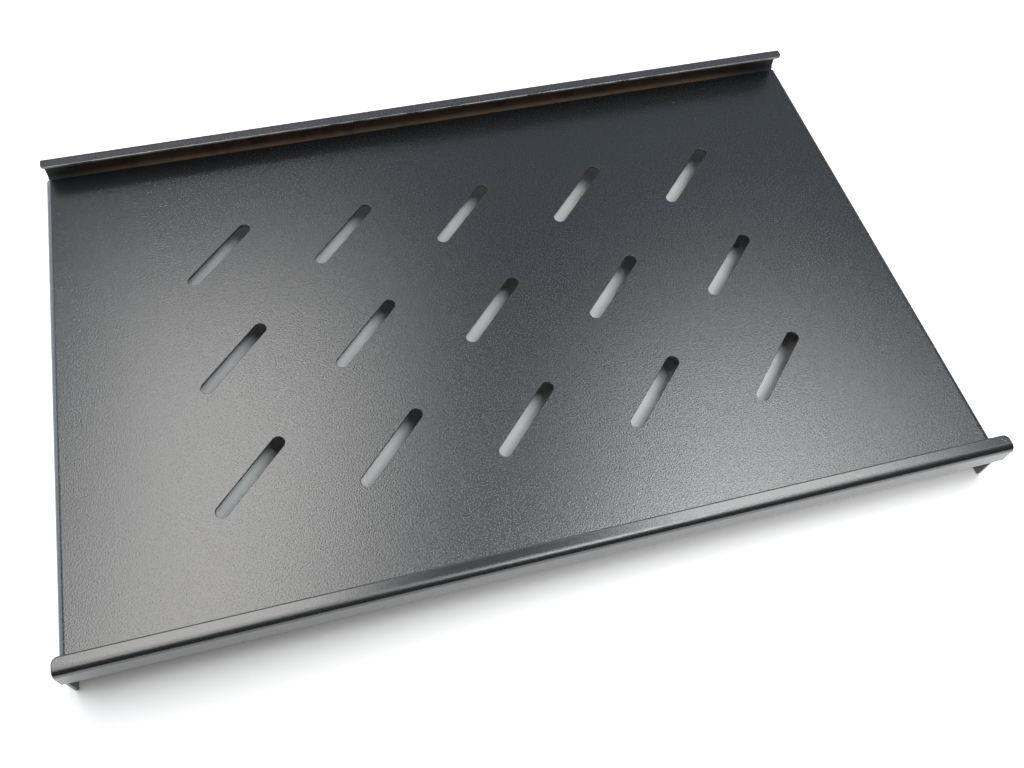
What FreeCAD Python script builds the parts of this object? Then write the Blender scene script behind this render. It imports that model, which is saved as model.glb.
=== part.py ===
import FreeCAD, Part
import math
import os

from FreeCAD import Vector

# A rack shelf folded from one blank of steel sheet.  The deck lies flat.  Its
# front and rear edges turn up into lips whose tops turn inward over the deck,
# and its two short sides turn down into flanges that carry the shelf.
# +X runs along the length, +Y from front to rear and +Z up.  The origin is the
# centre of the rectangle that the shelf stands on.

# Sheet and its folds, in millimetres
SHEET_THICKNESS = 1.5
FOLD_INSIDE_RADIUS = 2.0

# Overall size, measured over the outer faces
SHELF_LENGTH = 464.0            # over the side flanges
SHELF_DEPTH = 300.0             # over the lips

# Front and rear lips
LIP_RISE = 14.5                 # deck's top face to the top of the lip
LIP_SETBACK = 2.0               # side flange's outer face to the lip's end
RETURN_WIDTH = 8.5              # lip's outer face to the free edge of its return
RETURN_CORNER_RADIUS = 3.0

# Side flanges
FLANGE_DROP = 24.0              # deck's top face to the flange's bottom edge
FLANGE_CORNER_RADIUS = 1.5
CORNER_NOTCH = 1.0              # opening between a flange's end and the foot of the lip

# Ventilation slots in the deck
SLOT_LENGTH = 50.0
SLOT_WIDTH = 7.0
SLOT_ANGLE = 45.0               # degrees from +X towards +Y
SLOT_COLUMNS = 5
SLOT_ROWS = 3
SLOT_COLUMN_PITCH = 70.0
SLOT_ROW_PITCH = 70.0

# Screw slots in the side flanges, for M6 screws
SCREW_SLOT_WIDTH = 6.6
SCREW_SLOT_LENGTH = 16.0
SCREW_SLOT_FROM_END = 31.5      # flange's end to the slot's centre
SCREW_SLOT_BELOW_DECK = 12.0    # deck's top face to the slot's centre line

# Sizes that follow from the ones above
FOLD_OUTSIDE_RADIUS = FOLD_INSIDE_RADIUS + SHEET_THICKNESS
FOLD_MIDDLE_RADIUS = FOLD_INSIDE_RADIUS + SHEET_THICKNESS / 2
DECK_TOP = FLANGE_DROP
DECK_MIDDLE = DECK_TOP - SHEET_THICKNESS / 2
LIP_TOP = DECK_TOP + LIP_RISE
FLAT_LENGTH = SHELF_LENGTH - 2 * FOLD_OUTSIDE_RADIUS
FLAT_DEPTH = SHELF_DEPTH - 2 * FOLD_OUTSIDE_RADIUS
LIP_LENGTH = SHELF_LENGTH - 2 * LIP_SETBACK

LEFT_TURN = 90.0
RIGHT_TURN = -90.0


def front_to_rear(y, z):
    """Place a section point that is drawn across the shelf's depth."""
    return Vector(-LIP_LENGTH / 2, y, z)


def side_to_side(x, z):
    """Place a section point that is drawn along the shelf's length."""
    return Vector(x, -FLAT_DEPTH / 2, z)


def folded_section(start, heading, legs, turns, place):
    """Section of a folded strip, as a face.

    The strip's middle line starts at a point with a heading in degrees.  It
    runs straight for each leg and folds by each turn between two legs.
    """
    left_side = []
    right_side = []
    u, v = start
    angle = math.radians(heading)
    half = SHEET_THICKNESS / 2

    def beside(centre_u, centre_v, direction, distance):
        across = direction + math.pi / 2
        return place(centre_u + distance * math.cos(across), centre_v + distance * math.sin(across))

    for index, leg in enumerate(legs):
        end_u = u + leg * math.cos(angle)
        end_v = v + leg * math.sin(angle)
        for side, offset in ((left_side, half), (right_side, -half)):
            side.append(Part.makeLine(beside(u, v, angle, offset), beside(end_u, end_v, angle, offset)))
        u, v = end_u, end_v
        if index == len(turns):
            break
        turn = math.radians(turns[index])
        towards = math.copysign(1.0, turn)
        pivot_u = u - towards * FOLD_MIDDLE_RADIUS * math.sin(angle)
        pivot_v = v + towards * FOLD_MIDDLE_RADIUS * math.cos(angle)
        for side, offset in ((left_side, half), (right_side, -half)):
            reach = offset - towards * FOLD_MIDDLE_RADIUS
            stations = [beside(pivot_u, pivot_v, angle + turn * share, reach) for share in (0, 0.5, 1)]
            side.append(Part.Arc(*stations).toShape())
        angle += turn
        u = pivot_u + towards * FOLD_MIDDLE_RADIUS * math.sin(angle)
        v = pivot_v - towards * FOLD_MIDDLE_RADIUS * math.cos(angle)

    start_cap = Part.makeLine(right_side[0].firstVertex().Point, left_side[0].firstVertex().Point)
    end_cap = Part.makeLine(left_side[-1].lastVertex().Point, right_side[-1].lastVertex().Point)
    edges = [start_cap] + left_side + [end_cap] + right_side
    return Part.Face(Part.Wire(Part.__sortEdges__(edges)))


def deck_and_lips():
    """Deck with both lips: one channel section with inward returns, run along X."""
    return_leg = RETURN_WIDTH - FOLD_OUTSIDE_RADIUS
    wall_leg = LIP_RISE - FOLD_OUTSIDE_RADIUS - FOLD_INSIDE_RADIUS
    section = folded_section(
        start=(-SHELF_DEPTH / 2 + RETURN_WIDTH, LIP_TOP - SHEET_THICKNESS / 2),
        heading=180.0,
        legs=[return_leg, wall_leg, FLAT_DEPTH, wall_leg, return_leg],
        turns=[LEFT_TURN] * 4,
        place=front_to_rear,
    )
    channel = section.extrude(Vector(LIP_LENGTH, 0, 0))
    for side in (-1, 1):
        channel = channel.cut(beyond_side_fold(side))
    return channel


def beyond_side_fold(side):
    """Web of the channel past a side fold line, with a notch into each lip's foot."""
    width = 2 * FOLD_OUTSIDE_RADIUS
    depth = FLAT_DEPTH + 2 * CORNER_NOTCH
    height = 2 * SHEET_THICKNESS
    low_x = FLAT_LENGTH / 2 if side > 0 else -FLAT_LENGTH / 2 - width
    corner = Vector(low_x, -depth / 2, DECK_MIDDLE - height / 2)
    return Part.makeBox(width, depth, height, corner)


def deck_and_flanges():
    """Deck with both side flanges: one inverted channel, run along Y."""
    flange_leg = FLANGE_DROP - FOLD_OUTSIDE_RADIUS
    section = folded_section(
        start=(-SHELF_LENGTH / 2 + SHEET_THICKNESS / 2, 0.0),
        heading=90.0,
        legs=[flange_leg, FLAT_LENGTH, flange_leg],
        turns=[RIGHT_TURN] * 2,
        place=side_to_side,
    )
    return section.extrude(Vector(0, FLAT_DEPTH, 0))


def round_corners(shape, radius, belongs):
    """Round the short straight edges whose middle point passes the test."""
    edges = [edge for edge in shape.Edges if belongs(edge.CenterOfMass, edge.Length)]
    return shape.makeFillet(radius, edges)


def is_return_corner(point, length):
    """Free corner of a lip's return, an upright edge as long as the sheet is thick."""
    return (
        math.isclose(length, SHEET_THICKNESS, abs_tol=1e-4)
        and math.isclose(abs(point.x), LIP_LENGTH / 2, abs_tol=1e-4)
        and math.isclose(abs(point.y), SHELF_DEPTH / 2 - RETURN_WIDTH, abs_tol=1e-4)
    )


def is_flange_corner(point, length):
    """Bottom corner of a side flange, an edge that runs through the sheet along X."""
    return (
        math.isclose(length, SHEET_THICKNESS, abs_tol=1e-4)
        and math.isclose(abs(point.y), FLAT_DEPTH / 2, abs_tol=1e-4)
        and math.isclose(point.z, 0.0, abs_tol=1e-4)
    )


def slot_prism(length, width, height):
    """Upright prism of a slot with round ends, centred on the origin along X."""
    reach = (length - width) / 2
    half = width / 2
    edges = [
        Part.makeLine(Vector(-reach, -half, 0), Vector(reach, -half, 0)),
        Part.Arc(Vector(reach, -half, 0), Vector(reach + half, 0, 0), Vector(reach, half, 0)).toShape(),
        Part.makeLine(Vector(reach, half, 0), Vector(-reach, half, 0)),
        Part.Arc(Vector(-reach, half, 0), Vector(-reach - half, 0, 0), Vector(-reach, -half, 0)).toShape(),
    ]
    prism = Part.Face(Part.Wire(edges)).extrude(Vector(0, 0, height))
    prism.translate(Vector(0, 0, -height / 2))
    return prism


def ventilation_slots():
    """Slanted slots in a rectangular grid, centred on the deck."""
    slots = []
    for column in range(SLOT_COLUMNS):
        for row in range(SLOT_ROWS):
            slot = slot_prism(SLOT_LENGTH, SLOT_WIDTH, 3 * SHEET_THICKNESS)
            slot.rotate(Vector(0, 0, 0), Vector(0, 0, 1), SLOT_ANGLE)
            x = (column - (SLOT_COLUMNS - 1) / 2) * SLOT_COLUMN_PITCH
            y = (row - (SLOT_ROWS - 1) / 2) * SLOT_ROW_PITCH
            slot.translate(Vector(x, y, DECK_MIDDLE))
            slots.append(slot)
    return slots


def screw_slots():
    """Two level screw slots through each side flange, one near each end."""
    slots = []
    for side in (-1, 1):
        for end in (-1, 1):
            slot = slot_prism(SCREW_SLOT_LENGTH, SCREW_SLOT_WIDTH, 3 * SHEET_THICKNESS)
            slot.rotate(Vector(0, 0, 0), Vector(0, 0, 1), 90)
            slot.rotate(Vector(0, 0, 0), Vector(0, 1, 0), 90)
            x = side * (SHELF_LENGTH - SHEET_THICKNESS) / 2
            y = end * (FLAT_DEPTH / 2 - SCREW_SLOT_FROM_END)
            slot.translate(Vector(x, y, DECK_TOP - SCREW_SLOT_BELOW_DECK))
            slots.append(slot)
    return slots


def shelf():
    """The whole shelf: both sections joined, corners rounded, slots punched."""
    sheet = deck_and_lips().fuse(deck_and_flanges()).removeSplitter()
    sheet = round_corners(sheet, RETURN_CORNER_RADIUS, is_return_corner)
    sheet = round_corners(sheet, FLANGE_CORNER_RADIUS, is_flange_corner)
    sheet = sheet.cut(ventilation_slots() + screw_slots())
    return sheet.Solids[0]


os.makedirs("parts", exist_ok=True)
shelf().exportStep("parts/shelf.step")
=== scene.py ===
import math

import bpy
from mathutils import Euler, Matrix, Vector


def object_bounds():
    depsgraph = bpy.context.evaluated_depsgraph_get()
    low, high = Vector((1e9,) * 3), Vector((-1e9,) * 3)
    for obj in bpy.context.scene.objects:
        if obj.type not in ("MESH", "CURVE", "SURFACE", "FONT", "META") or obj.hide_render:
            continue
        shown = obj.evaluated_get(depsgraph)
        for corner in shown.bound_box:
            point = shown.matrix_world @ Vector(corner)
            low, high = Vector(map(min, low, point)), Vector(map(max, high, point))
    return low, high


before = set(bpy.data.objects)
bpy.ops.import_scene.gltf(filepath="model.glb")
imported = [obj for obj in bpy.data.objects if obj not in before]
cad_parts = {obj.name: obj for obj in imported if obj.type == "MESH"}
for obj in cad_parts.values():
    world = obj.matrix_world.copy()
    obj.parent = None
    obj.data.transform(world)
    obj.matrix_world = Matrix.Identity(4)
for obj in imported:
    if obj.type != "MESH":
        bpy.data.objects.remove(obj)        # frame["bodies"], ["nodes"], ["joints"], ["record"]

cad_low, cad_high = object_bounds()

# Camera, in metres and degrees
IMAGE_WIDTH = 1024
IMAGE_HEIGHT = 768
FOCAL_LENGTH_PX = 940.2
OPTICAL_CENTRE_PX = (497.53, 378.73)
SENSOR_WIDTH = 36.0
CAMERA_PLACE = (-0.0908, -0.2836, 0.4462)
CAMERA_LOOKS_DOWN = 59.03
CAMERA_TURN = 18.87
CAMERA_ROLL = 4.91
NEAREST_SEEN = 0.01
FURTHEST_SEEN = 50

# Light panels: place, size, turn in degrees, radiance and tint.  The side
# panel looks at a point, and the others face straight down.
PANELS = {
    "left_panel": dict(
        place=(-0.361, 0.215, 1.024), size=(0.484, 1.250), turn=-13.1, radiance=3.95, tint=(1.03, 1.0, 0.97)),
    "right_panel": dict(
        place=(0.589, 0.212, 1.024), size=(0.400, 0.561), turn=39.0, radiance=5.0, tint=(1.0, 1.0, 0.99)),
    "top_panel": dict(
        place=(0.172, -0.147, 0.620), size=(0.330, 0.120), turn=42.7, radiance=13.0, tint=(0.96, 1.0, 1.02)),
    "high_panel": dict(
        place=(0.320, -0.240, 1.024), size=(0.340, 0.600), turn=45.0, radiance=2.0, tint=(0.96, 1.0, 1.02)),
    "side_panel": dict(
        place=(-1.35, 0.62, 0.55), size=(1.6, 0.9), looks_at=(-0.2, 0.0, 0.02), radiance=1.8,
        tint=(0.92, 0.98, 1.08)),
}

# Room light: its colours before the shelf and behind it, and the stretches of a
# direction's Y and Z over which the first turns into the second
ROOM_BEFORE = (0.035, 0.029, 0.025)
ROOM_BEHIND = (0.262, 0.298, 0.35)
ROOM_REARWARD = (-0.1, 0.35)
ROOM_UPWARD = (0.20, 0.45)
WHITE = (1, 1, 1, 1)

# Floor, its lifts of light for the eye and reflections alone, and its shadow's edges
FLOOR_SIZE = 6.0
FLOOR_COLOUR = (0.95, 0.96, 0.96)
FLOOR_ROUGHNESS = 0.9
FRONT_LIFT_LEFT = 0.17
FRONT_LIFT_RIGHT = 0.45
SIDE_LIFT = 0.50
REFLECTED_LIFT = 1.2
FAR_FLOOR = 0.7
FRONT_SHADOW_START = 0.014
FRONT_SHADOW_REACH = 0.009
SIDE_SHADOW_REACH = 0.006

# Folded sheet
SHEET = 0.0015
DECK_TOP = 0.024
RETURN_DEPTH = 0.0085
EDGE_ROUNDING = 0.0006
EDGE_SEGMENTS = 3
CRISP_SHARE = 0.35
LIP_HEIGHT = 0.030
LIP_HEIGHT_FADE = 0.001
SHARP_EDGE = math.radians(35)
FLAT_ANGLE = math.radians(1)
WELD_DISTANCE = 0.00001
NORMAL_WEIGHT = 100

# Powder coat
COAT_DARK = (0.0110, 0.0132, 0.0142)
COAT_LIGHT = (0.0142, 0.0170, 0.0182)
TONE_RANGE = (0.35, 0.65)
COAT_IOR = 1.90
COAT_ROUGHNESS = 0.21
LEAST_ROUGHNESS = 0.10
COAT_ROUGH_SWING = 0.75
GRAIN_SIZE = 0.0008
GRAIN_HEIGHT = 0.00013
NOISE_MIDDLE = 0.5
NOISE_DETAIL = 2.0
NOISE_ROUGHNESS = 0.6

# Strength of the grain: fainter to the left, to the rear and on the near lip
GRAIN_ALONG = (-0.20, -0.06)
GRAIN_ACROSS = (0.12, 0.02)
LEFT_GRAIN = 0.50
FAR_GRAIN = 0.8
LEAST_RELIEF = 0.55

# Near lip: stretches in metres from its outer face, then what changes on it
NEAR_LIP_END = (0.008, 0.014)
NEAR_BEND_INSIDE = (0.0045, 0.0032)
NEAR_BEND_OUTSIDE = (0.0006, 0.0016)
NEAR_LIP_SMOOTHER = 0.85
NEAR_LIP_PITS = 0.35
NEAR_LIP_GRAIN = 0.55
NEAR_BEND_ROUGHER = 0.16

# Dull line on the near return: roughness, then metres from its free edge and top
DULL_EDGE_ROUGHNESS = 0.9
DULL_OUTSIDE = (-0.0009, -0.0005)
DULL_INSIDE = (0.0006, 0.0002)
DULL_BELOW_TOP = (-0.0020, -0.0010)

# Painted brown reflection in the far lip's fold, and the fold's dull roughness.
# The fold's three stretches are measured from the lip's inner face, its outer
# face and the return's underside, and the painted reflection's ends from the shelf's middle.
REFLECTION_BROWN = (0.170, 0.100, 0.056)
FOLD_ROUGHNESS = 0.85
FOLD_FOOT = (-0.0032, -0.0018)
FOLD_BACK = (-0.0004, -0.0010)
FOLD_TOP = (0.0, -0.001)
REFLECTION_ENDS = (0.228, 0.165)
REFLECTION_BELOW_TOP = 0.003
REFLECTION_ABOVE_DECK = 0.002
REFLECTION_AT_TOP = 0.9
REFLECTION_PATCH_SIZE = 0.012
REFLECTION_PATCHES = (0.30, 0.55)
LEAST_REFLECTION = 0.55

# Painted grey sheen on the far return's top: colour, share, then metres from its free edge and top
SHEEN_GREY = (0.060, 0.054, 0.058)
SHEEN_SHARE = 0.6
SHEEN_FROM_EDGE = (0.0005, 0.0015)
SHEEN_BELOW_TOP = (-0.0010, -0.0003)

# Painted highlight line on the far return's free edge: colour, metres from its free edge and top, and gaps
HIGHLIGHT_GREY = (0.17, 0.17, 0.17)
HIGHLIGHT_INSIDE = (0.0009, 0.0003)
HIGHLIGHT_OUTSIDE = (-0.0020, -0.0010)
HIGHLIGHT_BELOW_TOP = (-0.0013, -0.0006)
HIGHLIGHT_PATCH_SIZE = 0.018
HIGHLIGHT_PATCHES = (0.36, 0.58)

# Fine dust, one grain to a cell at most, then larger marks by place and radius
SPECK_GREY = (0.16, 0.17, 0.17)
DUST_CELL = 0.016
DUST_GRAIN = (0.020, 0.008)
DUST_CHOICE = (0.40, 0.90)
DUST_SHARE = 0.45
DUST_FROM_DECK = (-0.0004, -0.0002)
MARK_CORE = 0.4
MARKS = (
    ((0.1538, 0.1306, 0.0240), 0.0006),
    ((0.1627, 0.1140, 0.0240), 0.0005),
    ((-0.2274, -0.1434, 0.0385), 0.0005),
    ((-0.2300, 0.1440, 0.0240), 0.0007),
    ((0.2256, -0.1436, 0.0385), 0.0006),
    ((0.2266, -0.1446, 0.0385), 0.0006),
    ((0.2271, -0.1457, 0.0385), 0.0005),
)


def link(material, out_node, out_name, in_node, in_name):
    """Join two sockets in the node tree of a material or the world."""
    material.node_tree.links.new(out_node.outputs[out_name], in_node.inputs[in_name])


def calc(material, operation, first, second):
    """Math node on two sockets or numbers; gives its output socket."""
    node = material.node_tree.nodes.new("ShaderNodeMath")
    node.operation = operation
    for index, value in enumerate((first, second)):
        if isinstance(value, (int, float)):
            node.inputs[index].default_value = value
        else:
            material.node_tree.links.new(value, node.inputs[index])
    return node.outputs[0]


def largest(material, *values):
    """Largest of sockets and numbers."""
    most = values[0]
    for value in values[1:]:
        most = calc(material, "MAXIMUM", most, value)
    return most


def product(material, *values):
    """Product of sockets and numbers."""
    total = values[0]
    for value in values[1:]:
        total = calc(material, "MULTIPLY", total, value)
    return total


def absolute(material, value):
    """Size of a socket's value without its sign."""
    return calc(material, "ABSOLUTE", value, 0.0)


def ramp(material, value, ends, origin=0.0, low=0.0, high=1.0):
    """Smooth ramp from low at the first end to high at the second.

    The ends are measured from the origin, and the first may be the larger.
    """
    node = material.node_tree.nodes.new("ShaderNodeMapRange")
    node.interpolation_type = "SMOOTHSTEP"
    material.node_tree.links.new(value, node.inputs["Value"])
    node.inputs["From Min"].default_value = origin + ends[0]
    node.inputs["From Max"].default_value = origin + ends[1]
    node.inputs["To Min"].default_value = low
    node.inputs["To Max"].default_value = high
    return node.outputs["Result"]


def straight_ramp(material, value, ends):
    """Straight ramp from 0 at the first end to 1 at the second."""
    node = material.node_tree.nodes.new("ShaderNodeMapRange")
    material.node_tree.links.new(value, node.inputs["Value"])
    node.inputs["From Min"].default_value = ends[0]
    node.inputs["From Max"].default_value = ends[1]
    return node.outputs["Result"]


def tone(material, value, first, second, ends=(0.0, 1.0)):
    """Colour that turns from the first to the second between two values."""
    node = material.node_tree.nodes.new("ShaderNodeValToRGB")
    for element, position, colour in zip(node.color_ramp.elements, ends, (first, second)):
        element.position = position
        element.color = (*colour, 1)
    material.node_tree.links.new(value, node.inputs["Fac"])
    return node.outputs["Color"]


def object_place(material):
    """The three coordinates of a point on the object, in metres."""
    place = material.node_tree.nodes.new("ShaderNodeTexCoord")
    split = material.node_tree.nodes.new("ShaderNodeSeparateXYZ")
    link(material, place, "Object", split, "Vector")
    return split.outputs["X"], split.outputs["Y"], split.outputs["Z"]


def noise(material, size):
    """Noise of a given feature size in metres; gives its 0 to 1 socket."""
    place = material.node_tree.nodes.new("ShaderNodeTexCoord")
    node = material.node_tree.nodes.new("ShaderNodeTexNoise")
    node.inputs["Scale"].default_value = 1 / size
    node.inputs["Detail"].default_value = NOISE_DETAIL
    node.inputs["Roughness"].default_value = NOISE_ROUGHNESS
    link(material, place, "Object", node, "Vector")
    return node.outputs["Fac"]


def lay_over(material, below, colour, share):
    """Lay a colour over a colour socket by a share socket."""
    node = material.node_tree.nodes.new("ShaderNodeMix")
    node.data_type = "RGBA"
    material.node_tree.links.new(share, node.inputs["Factor"])
    material.node_tree.links.new(below, node.inputs["A"])
    node.inputs["B"].default_value = (*colour, 1)
    return node.outputs["Result"]


def far_fold(material):
    """Mask of the far lip's inner wall and its foot."""
    _, y, z = object_place(material)
    return product(
        material,
        ramp(material, y, FOLD_FOOT, cad_high.y - SHEET),
        ramp(material, y, FOLD_BACK, cad_high.y),
        ramp(material, z, FOLD_TOP, cad_high.z - SHEET),
    )


def fold_painted_reflection(material, fold):
    """Painted brown reflection on the far lip's inner wall, fainter towards its ends."""
    x, _, z = object_place(material)
    heights = (cad_high.z - REFLECTION_BELOW_TOP, DECK_TOP + REFLECTION_ABOVE_DECK)
    return product(
        material,
        fold,
        ramp(material, z, heights, low=REFLECTION_AT_TOP),
        ramp(material, absolute(material, x), REFLECTION_ENDS),
        ramp(material, noise(material, REFLECTION_PATCH_SIZE), REFLECTION_PATCHES, low=LEAST_REFLECTION),
    )


def return_painted_sheen(material):
    """Painted grey sheen on the top of the far return."""
    _, y, z = object_place(material)
    return product(
        material,
        ramp(material, y, SHEEN_FROM_EDGE, cad_high.y - RETURN_DEPTH),
        ramp(material, z, SHEEN_BELOW_TOP, cad_high.z, high=SHEEN_SHARE),
    )


def edge_painted_highlight(material):
    """Painted highlight along the far return's free edge, broken here and there."""
    _, y, z = object_place(material)
    edge = cad_high.y - RETURN_DEPTH
    return product(
        material,
        ramp(material, y, HIGHLIGHT_INSIDE, edge),
        ramp(material, y, HIGHLIGHT_OUTSIDE, edge),
        ramp(material, z, HIGHLIGHT_BELOW_TOP, cad_high.z),
        ramp(material, noise(material, HIGHLIGHT_PATCH_SIZE), HIGHLIGHT_PATCHES),
    )


def dull_edge(material):
    """Dull line along the near return's free edge."""
    _, y, z = object_place(material)
    edge = cad_low.y + RETURN_DEPTH
    return product(
        material,
        ramp(material, y, DULL_OUTSIDE, edge),
        ramp(material, y, DULL_INSIDE, edge),
        ramp(material, z, DULL_BELOW_TOP, cad_high.z),
    )


def near_bend(material):
    """Mask of the outer bend between the near lip's face and its return."""
    _, y, _ = object_place(material)
    return product(
        material,
        ramp(material, y, NEAR_BEND_INSIDE, cad_low.y),
        ramp(material, y, NEAR_BEND_OUTSIDE, cad_low.y),
    )


def near_lip(material, on_lip):
    """A value on the near lip, and 1 on the rest of the sheet."""
    _, y, _ = object_place(material)
    return ramp(material, y, NEAR_LIP_END, cad_low.y, low=on_lip)


def specks(material):
    """Sparse fine dust over the sheet, and a few larger marks at their places."""
    nodes = material.node_tree.nodes
    place = nodes.new("ShaderNodeTexCoord")
    cells = nodes.new("ShaderNodeTexVoronoi")
    cells.voronoi_dimensions = "2D"
    cells.inputs["Scale"].default_value = 1 / DUST_CELL
    link(material, place, "Object", cells, "Vector")
    chosen = nodes.new("ShaderNodeSeparateColor")
    link(material, cells, "Color", chosen, "Color")
    _, _, z = object_place(material)
    total = product(
        material,
        ramp(material, cells.outputs["Distance"], DUST_GRAIN),
        ramp(material, chosen.outputs["Red"], DUST_CHOICE, high=DUST_SHARE),
        ramp(material, z, DUST_FROM_DECK, DECK_TOP),
    )
    for spot, radius in MARKS:
        away = nodes.new("ShaderNodeVectorMath")
        away.operation = "DISTANCE"
        link(material, place, "Object", away, "Vector")
        away.inputs[1].default_value = spot
        mark = ramp(material, away.outputs["Value"], (radius, radius * MARK_CORE))
        total = largest(material, total, mark)
    return total


def grain_strength(material):
    """How strong the grain is over the sheet, up to 1."""
    x, y, _ = object_place(material)
    return product(
        material,
        ramp(material, x, GRAIN_ALONG, low=LEFT_GRAIN),
        ramp(material, y, GRAIN_ACROSS, low=FAR_GRAIN),
        near_lip(material, NEAR_LIP_PITS),
    )


def coat_colour(material, grain, fold):
    """Black that varies with the grain, under its painted brown reflection, painted sheen, painted highlight
    and specks of dust.
    """
    colour = tone(material, grain, COAT_DARK, COAT_LIGHT, TONE_RANGE)
    # painted brown reflection on the far lip's inner wall and its foot
    colour = lay_over(material, colour, REFLECTION_BROWN, fold_painted_reflection(material, fold))
    # painted sheen, a lighter grey on the far return's top
    colour = lay_over(material, colour, SHEEN_GREY, return_painted_sheen(material))
    # painted highlight, a lighter line along the far return's free edge
    colour = lay_over(material, colour, HIGHLIGHT_GREY, edge_painted_highlight(material))
    return lay_over(material, colour, SPECK_GREY, specks(material))


def coat_roughness(material, grain, strength, fold):
    """Satin that varies with the grain, dull in the far fold and on the near edge."""
    pits = calc(material, "SUBTRACT", grain, NOISE_MIDDLE)
    pits = product(material, pits, strength, COAT_ROUGH_SWING)
    satin = product(material, near_lip(material, NEAR_LIP_SMOOTHER), COAT_ROUGHNESS)
    rough = calc(material, "ADD", pits, satin)
    rough = calc(material, "ADD", rough, product(material, near_bend(material), NEAR_BEND_ROUGHER))
    return largest(
        material,
        rough,
        LEAST_ROUGHNESS,
        product(material, fold, FOLD_ROUGHNESS),
        product(material, dull_edge(material), DULL_EDGE_ROUGHNESS),
    )


def coat_relief(material, grain, strength):
    """Bump of the grain; gives its node."""
    relief = product(
        material,
        ramp(material, strength, (0.0, 1.0), low=LEAST_RELIEF),
        near_lip(material, NEAR_LIP_GRAIN),
    )
    bump = material.node_tree.nodes.new("ShaderNodeBump")
    bump.inputs["Distance"].default_value = GRAIN_HEIGHT
    material.node_tree.links.new(grain, bump.inputs["Height"])
    material.node_tree.links.new(relief, bump.inputs["Strength"])
    return bump


def powder_coat():
    """Black powder coat with a fine orange-peel grain, specks of dust and a few scratches, and a painted
    reflection, sheen and highlight in places.
    """
    material = bpy.data.materials.new("black_powder_coat")
    material.use_nodes = True
    shader = material.node_tree.nodes["Principled BSDF"]
    shader.inputs["IOR"].default_value = COAT_IOR
    grain = noise(material, GRAIN_SIZE)
    strength = grain_strength(material)
    fold = far_fold(material)
    links = material.node_tree.links
    links.new(coat_colour(material, grain, fold), shader.inputs["Base Color"])
    links.new(coat_roughness(material, grain, strength, fold), shader.inputs["Roughness"])
    link(material, coat_relief(material, grain, strength), "Normal", shader, "Normal")
    return material


def edge_weights():
    """Node group that marks sharp edges for the bevel: full on the lips, less elsewhere."""
    group = bpy.data.node_groups.new("edge_weights", "GeometryNodeTree")
    group.interface.new_socket("Geometry", in_out="INPUT", socket_type="NodeSocketGeometry")
    group.interface.new_socket("Geometry", in_out="OUTPUT", socket_type="NodeSocketGeometry")
    nodes = group.nodes
    source = nodes.new("NodeGroupInput")
    target = nodes.new("NodeGroupOutput")
    angle = nodes.new("GeometryNodeInputMeshEdgeAngle")
    sharp = nodes.new("ShaderNodeMath")
    sharp.operation = "GREATER_THAN"
    sharp.inputs[1].default_value = SHARP_EDGE
    place = nodes.new("GeometryNodeInputPosition")
    split = nodes.new("ShaderNodeSeparateXYZ")
    share = nodes.new("ShaderNodeMapRange")
    share.inputs["From Min"].default_value = LIP_HEIGHT
    share.inputs["From Max"].default_value = LIP_HEIGHT + LIP_HEIGHT_FADE
    share.inputs["To Min"].default_value = CRISP_SHARE
    weight = nodes.new("ShaderNodeMath")
    weight.operation = "MULTIPLY"
    store = nodes.new("GeometryNodeStoreNamedAttribute")
    store.data_type = "FLOAT"
    store.domain = "EDGE"
    store.inputs["Name"].default_value = "bevel_weight_edge"
    links = group.links
    links.new(angle.outputs["Unsigned Angle"], sharp.inputs[0])
    links.new(place.outputs["Position"], split.inputs["Vector"])
    links.new(split.outputs["Z"], share.inputs["Value"])
    links.new(sharp.outputs[0], weight.inputs[0])
    links.new(share.outputs["Result"], weight.inputs[1])
    links.new(source.outputs["Geometry"], store.inputs["Geometry"])
    links.new(weight.outputs[0], store.inputs["Value"])
    links.new(store.outputs["Geometry"], target.inputs["Geometry"])
    return group


def dress_shelf(material):
    """Round the sheet's edges and give it its coat."""
    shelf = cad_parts["shelf"]
    for slot in shelf.material_slots:
        slot.material = material
    weld = shelf.modifiers.new("weld", "WELD")
    weld.merge_threshold = WELD_DISTANCE
    flats = shelf.modifiers.new("flats", "DECIMATE")
    flats.decimate_type = "DISSOLVE"
    flats.angle_limit = FLAT_ANGLE
    weights = shelf.modifiers.new("weights", "NODES")
    weights.node_group = edge_weights()
    bevel = shelf.modifiers.new("edges", "BEVEL")
    bevel.width = EDGE_ROUNDING
    bevel.segments = EDGE_SEGMENTS
    bevel.limit_method = "WEIGHT"
    bevel.loop_slide = False
    bevel.use_clamp_overlap = False
    bevel.harden_normals = False
    normals = shelf.modifiers.new("normals", "WEIGHTED_NORMAL")
    normals.keep_sharp = False
    normals.weight = NORMAL_WEIGHT


def floor_lift(material):
    """Light that only the eye and reflections see on the floor; none under the shelf."""
    x, y, _ = object_place(material)
    from_middle = absolute(material, x)
    beside = ramp(material, from_middle, (0.0, SIDE_SHADOW_REACH), cad_high.x)
    behind = ramp(material, y, (0.0, SIDE_SHADOW_REACH), cad_high.y)
    around = product(material, largest(material, beside, behind), SIDE_LIFT)
    before = ramp(material, y, (0.0, -FRONT_SHADOW_REACH), cad_low.y + FRONT_SHADOW_START)
    ends = (cad_low.x, cad_high.x)
    front = product(material, before, ramp(material, x, ends, low=FRONT_LIFT_LEFT, high=FRONT_LIFT_RIGHT))
    away = largest(material, from_middle, absolute(material, y))
    lift = largest(material, around, front, ramp(material, away, (FAR_FLOOR, 2 * FAR_FLOOR)))
    path = material.node_tree.nodes.new("ShaderNodeLightPath")
    mirrored = largest(material, path.outputs["Is Glossy Ray"], path.outputs["Is Transmission Ray"])
    mirrored = product(material, mirrored, REFLECTED_LIFT)
    rays = calc(material, "ADD", path.outputs["Is Camera Ray"], mirrored)
    return product(material, lift, rays)


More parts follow.
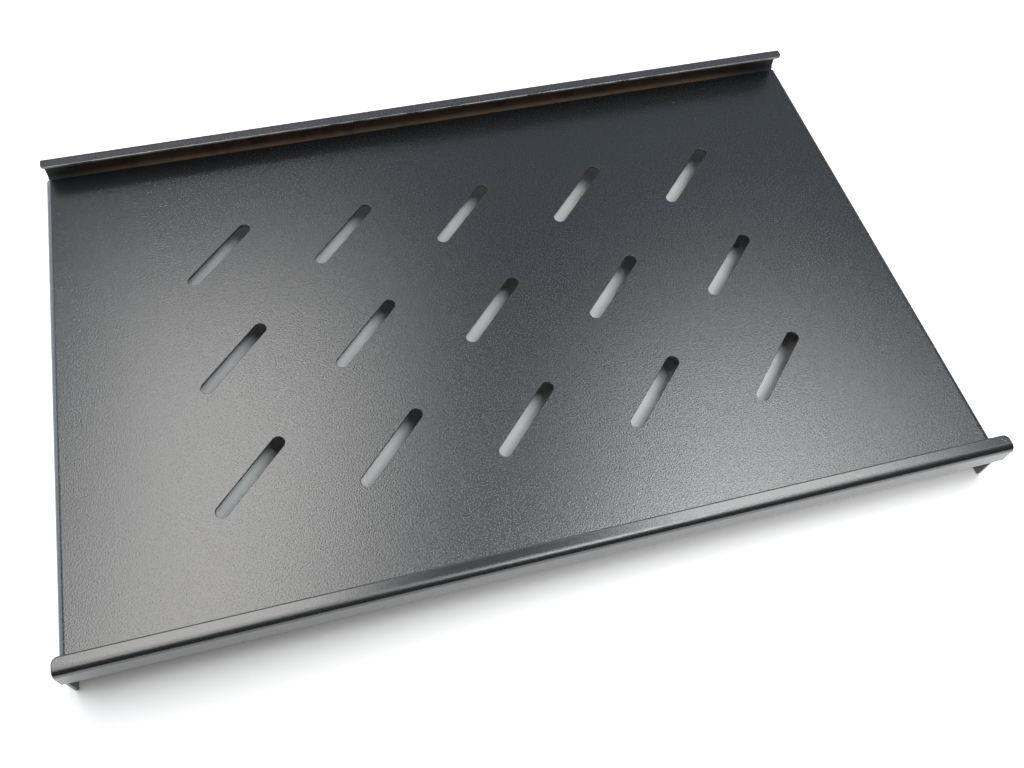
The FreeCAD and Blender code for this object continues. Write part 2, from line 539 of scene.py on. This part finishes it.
def floor():
    """Plain pale floor that shows white to the camera and keeps the shadow."""
    mesh = bpy.data.meshes.new("floor")
    half = FLOOR_SIZE / 2
    corners = [(-half, -half, 0), (half, -half, 0), (half, half, 0), (-half, half, 0)]
    mesh.from_pydata(corners, [], [(0, 1, 2, 3)])
    thing = bpy.data.objects.new("floor", mesh)
    bpy.context.collection.objects.link(thing)
    material = bpy.data.materials.new("floor")
    material.use_nodes = True
    shader = material.node_tree.nodes["Principled BSDF"]
    shader.inputs["Base Color"].default_value = (*FLOOR_COLOUR, 1)
    shader.inputs["Roughness"].default_value = FLOOR_ROUGHNESS
    shader.inputs["Specular IOR Level"].default_value = 0.0
    shader.inputs["Emission Color"].default_value = WHITE
    material.node_tree.links.new(floor_lift(material), shader.inputs["Emission Strength"])
    mesh.materials.append(material)


def panel(name, place, size, radiance, tint, turn=0.0, looks_at=None):
    """Soft light panel that faces straight down, or towards a point."""
    lamp = bpy.data.lights.new(name, "AREA")
    lamp.shape = "RECTANGLE"
    lamp.size, lamp.size_y = size
    lamp.energy = radiance * math.pi * size[0] * size[1]
    lamp.color = tint
    thing = bpy.data.objects.new(name, lamp)
    thing.location = place
    thing.rotation_euler = (0, 0, math.radians(turn))
    if looks_at:
        towards = Vector(looks_at) - Vector(place)
        thing.rotation_euler = towards.to_track_quat("-Z", "Y").to_euler()
    thing.visible_camera = False
    bpy.context.collection.objects.link(thing)


def camera():
    """Camera at the photograph's place."""
    data = bpy.data.cameras.new("camera")
    data.sensor_fit = "HORIZONTAL"
    data.sensor_width = SENSOR_WIDTH
    data.lens = FOCAL_LENGTH_PX / IMAGE_WIDTH * SENSOR_WIDTH
    data.shift_x = (IMAGE_WIDTH / 2 - OPTICAL_CENTRE_PX[0]) / IMAGE_WIDTH
    data.shift_y = (OPTICAL_CENTRE_PX[1] - IMAGE_HEIGHT / 2) / IMAGE_WIDTH
    data.clip_start = NEAREST_SEEN
    data.clip_end = FURTHEST_SEEN
    thing = bpy.data.objects.new("camera", data)
    thing.location = CAMERA_PLACE
    roll = Euler((0, 0, math.radians(CAMERA_ROLL))).to_matrix()
    tilt = Euler((math.radians(90 - CAMERA_LOOKS_DOWN), 0, 0)).to_matrix()
    turn = Euler((0, 0, math.radians(-CAMERA_TURN))).to_matrix()
    thing.rotation_euler = (turn @ tilt @ roll).to_euler()
    bpy.context.collection.objects.link(thing)
    bpy.context.scene.camera = thing


def room():
    """Dim room light, brighter high up behind the shelf than before it; white to the camera."""
    world = bpy.data.worlds.new("room")
    world.use_nodes = True
    nodes = world.node_tree.nodes
    background = nodes["Background"]
    place = nodes.new("ShaderNodeTexCoord")
    split = nodes.new("ShaderNodeSeparateXYZ")
    link(world, place, "Generated", split, "Vector")
    rearward = straight_ramp(world, split.outputs["Y"], ROOM_REARWARD)
    upward = straight_ramp(world, split.outputs["Z"], ROOM_UPWARD)
    light = tone(world, product(world, rearward, upward), ROOM_BEFORE, ROOM_BEHIND)
    path = nodes.new("ShaderNodeLightPath")
    seen = nodes.new("ShaderNodeMix")
    seen.data_type = "RGBA"
    seen.inputs["B"].default_value = WHITE
    link(world, path, "Is Camera Ray", seen, "Factor")
    world.node_tree.links.new(light, seen.inputs["A"])
    link(world, seen, "Result", background, "Color")
    background.inputs["Strength"].default_value = 1.0
    bpy.context.scene.world = world


bpy.context.scene.view_settings.view_transform = "Standard"
dress_shelf(powder_coat())
floor()
for panel_name, settings in PANELS.items():
    panel(panel_name, **settings)
room()
camera()
